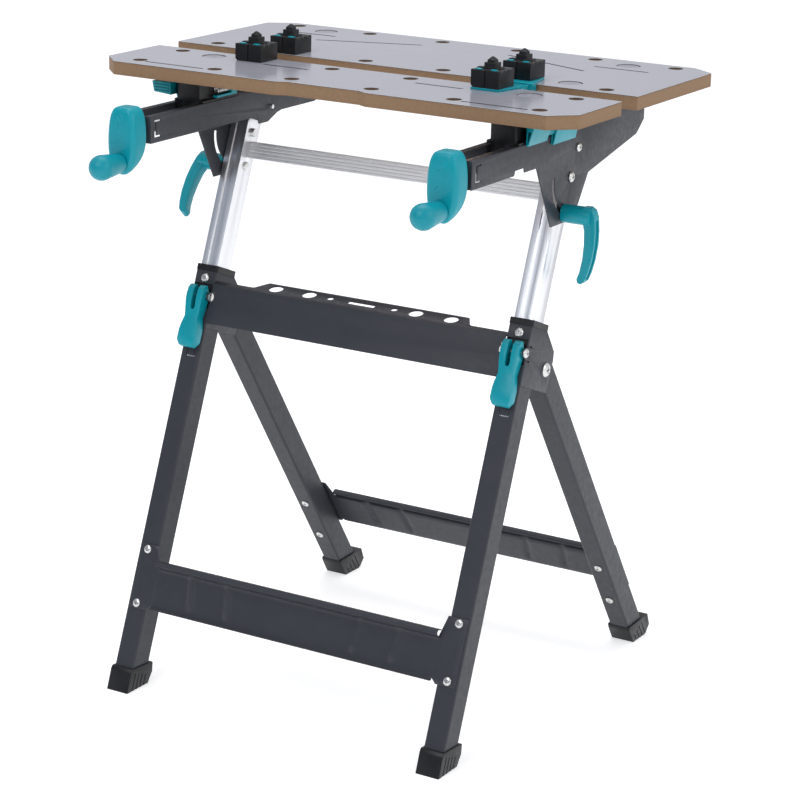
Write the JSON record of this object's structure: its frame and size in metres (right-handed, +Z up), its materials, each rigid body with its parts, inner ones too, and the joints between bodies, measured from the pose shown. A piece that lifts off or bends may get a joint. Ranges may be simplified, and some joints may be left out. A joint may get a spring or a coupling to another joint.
{
  "type": "work platform bench",
  "caption": "Folding work platform bench with splayed tubular legs, height and tilt clamps, crank-driven clamping jaws and removable bench dogs.",
  "frame": {"origin": "centre of the bench's outline on the floor", "axes": "+Z up, +X along the jaws to the right, -Y towards the cranks"},
  "size_m": [0.7, 0.6604, 0.8777],
  "materials": {
    "frame_paint": "fine powder coat",
    "black_plastic": "matte",
    "teal_plastic": "satin",
    "grip_plastic": "satin",
    "aluminium": "mill finish",
    "zinc_steel": "zinc plated",
    "table_board": "laminated board",
    "cap_plastic": "satin"
  },
  "bodies": {
    "front_frame": {"front_leg_left": "frame_paint", "front_leg_right": "frame_paint", "front_foot_left": "black_plastic", "front_foot_right": "black_plastic", "hinge_bracket_left": "frame_paint", "hinge_bracket_right": "frame_paint", "collar_left": "black_plastic", "collar_right": "black_plastic", "tool_tray": "frame_paint", "lower_crossbar_front": "frame_paint", "front_crossbar_screws": "zinc_steel", "bracket_screws": "zinc_steel", "fold_bolts": "zinc_steel", "cam_pins": "zinc_steel"},
    "rear_frame": {"rear_leg_left": "frame_paint", "rear_leg_right": "frame_paint", "rear_foot_left": "black_plastic", "rear_foot_right": "black_plastic", "lower_crossbar_rear": "frame_paint", "rear_crossbar_bolts": "zinc_steel"},
    "upper_frame": {"inner_tube_left": "aluminium", "inner_tube_right": "aluminium", "alloy_crossbar": "aluminium", "tilt_bolts": "zinc_steel", "clamp_bolts": "zinc_steel", "tilt_spacers": "black_plastic"},
    "head": {"arm_left": "frame_paint", "arm_right": "frame_paint", "rear_jaw": "table_board", "rear_jaw_bolts": "cap_plastic", "arm_cross_bolts": "zinc_steel"},
    "clamping_jaw": {"front_jaw": "table_board", "front_jaw_bolts": "cap_plastic", "carrier_left": "black_plastic", "carrier_right": "black_plastic", "release_springs": "zinc_steel", "spring_seats": "teal_plastic"},
    "crank_assembly_left": {"crank_left": "teal_plastic", "spindle_left": "zinc_steel"},
    "grip_left": {"crank_knob_left": "grip_plastic"},
    "release_left": {"release_lever_left": "teal_plastic"},
    "tilt_clamp_left": {"tilt_lever_left": "teal_plastic"},
    "height_clamp_left": {"cam_lever_left": "teal_plastic"},
    "crank_assembly_right": {"crank_right": "teal_plastic", "spindle_right": "zinc_steel"},
    "grip_right": {"crank_knob_right": "grip_plastic"},
    "release_right": {"release_lever_right": "teal_plastic"},
    "tilt_clamp_right": {"tilt_lever_right": "teal_plastic"},
    "height_clamp_right": {"cam_lever_right": "teal_plastic"},
    "dog_stop_front_left": {"dog_front_left": "black_plastic", "dog_inserts_front_left": "teal_plastic"},
    "dog_stop_front_right": {"dog_front_right": "black_plastic", "dog_inserts_front_right": "teal_plastic", "clamp_plate_front": "teal_plastic"},
    "dog_stop_rear_left": {"dog_rear_left": "black_plastic", "dog_inserts_rear_left": "teal_plastic"},
    "dog_stop_rear_right": {"dog_rear_right": "black_plastic", "dog_inserts_rear_right": "teal_plastic", "clamp_plate_rear": "teal_plastic"}
  },
  "joints": [
    {"name": "rear_legs_fold", "type": "hinge", "parent": "front_frame", "child": "rear_frame", "pos_m": [0, -0.02995, 0.4778], "axis": [1, 0, 0], "range_deg": [-54, 0]},
    {"name": "height_slide", "type": "slide", "parent": "front_frame", "child": "upper_frame", "axis": [0, 0.3545, 0.9351], "range_m": [-0.1, 0.07]},
    {"name": "table_tilt", "type": "hinge", "parent": "upper_frame", "child": "head", "pos_m": [0, 0.01825, 0.7227], "axis": [1, 0, 0], "range_deg": [0, 55]},
    {"name": "clamping_slide", "type": "slide", "parent": "head", "child": "clamping_jaw", "axis": [0, 1, 0], "range_m": [-0.064, 0.01]},
    {"name": "crank_turn_left", "type": "hinge", "parent": "head", "child": "crank_assembly_left", "pos_m": [-0.23565, -0.24575, 0.774], "axis": [0, 1, 0], "range_deg": [-3840, 600]},
    {"name": "grip_spin_left", "type": "hinge", "parent": "crank_assembly_left", "child": "grip_left", "pos_m": [-0.23565, -0.27635, 0.727], "axis": [0, -1, 0], "continuous": true},
    {"name": "release_press_left", "type": "hinge", "parent": "clamping_jaw", "child": "release_left", "pos_m": [-0.26, -0.05075, 0.797], "axis": [-1, 0, 0], "range_deg": [0, 7], "stiffness_Nm_per_rad": 1, "springref_deg": -14.32},
    {"name": "tilt_clamp_turn_left", "type": "hinge", "parent": "upper_frame", "child": "tilt_clamp_left", "pos_m": [-0.2593, 0.00159, 0.67875], "axis": [-1, 0, 0], "range_deg": [-43, 77]},
    {"name": "height_clamp_turn_left", "type": "hinge", "parent": "front_frame", "child": "height_clamp_left", "pos_m": [-0.2423, -0.08648, 0.51271], "axis": [-1, 0, 0], "range_deg": [0, 45]},
    {"name": "crank_turn_right", "type": "hinge", "parent": "head", "child": "crank_assembly_right", "pos_m": [0.23565, -0.24575, 0.774], "axis": [0, 1, 0], "range_deg": [-3840, 600]},
    {"name": "grip_spin_right", "type": "hinge", "parent": "crank_assembly_right", "child": "grip_right", "pos_m": [0.23565, -0.27635, 0.727], "axis": [0, -1, 0], "continuous": true},
    {"name": "release_press_right", "type": "hinge", "parent": "clamping_jaw", "child": "release_right", "pos_m": [0.26, -0.05075, 0.797], "axis": [-1, 0, 0], "range_deg": [0, 7], "stiffness_Nm_per_rad": 1, "springref_deg": -14.32},
    {"name": "tilt_clamp_turn_right", "type": "hinge", "parent": "upper_frame", "child": "tilt_clamp_right", "pos_m": [0.2593, 0.00159, 0.67875], "axis": [1, 0, 0], "range_deg": [0, 120]},
    {"name": "height_clamp_turn_right", "type": "hinge", "parent": "front_frame", "child": "height_clamp_right", "pos_m": [0.2423, -0.08648, 0.51271], "axis": [-1, 0, 0], "range_deg": [0, 45]},
    {"name": "dog_lift_front_left", "type": "slide", "parent": "clamping_jaw", "child": "dog_stop_front_left", "axis": [0, 0, 1], "range_m": [0, 0.035]},
    {"name": "dog_lift_front_right", "type": "slide", "parent": "clamping_jaw", "child": "dog_stop_front_right", "axis": [0, 0, 1], "range_m": [0, 0.035]},
    {"name": "dog_lift_rear_left", "type": "slide", "parent": "head", "child": "dog_stop_rear_left", "axis": [0, 0, 1], "range_m": [0, 0.035]},
    {"name": "dog_lift_rear_right", "type": "slide", "parent": "head", "child": "dog_stop_rear_right", "axis": [0, 0, 1], "range_m": [0, 0.035]}
  ],
  "couplings": [
    {"joint": "clamping_slide", "follows": "crank_turn_left", "m_per_rad": 0.00095493},
    {"joint": "crank_turn_right", "follows": "crank_turn_left", "ratio": 1}
  ]
}
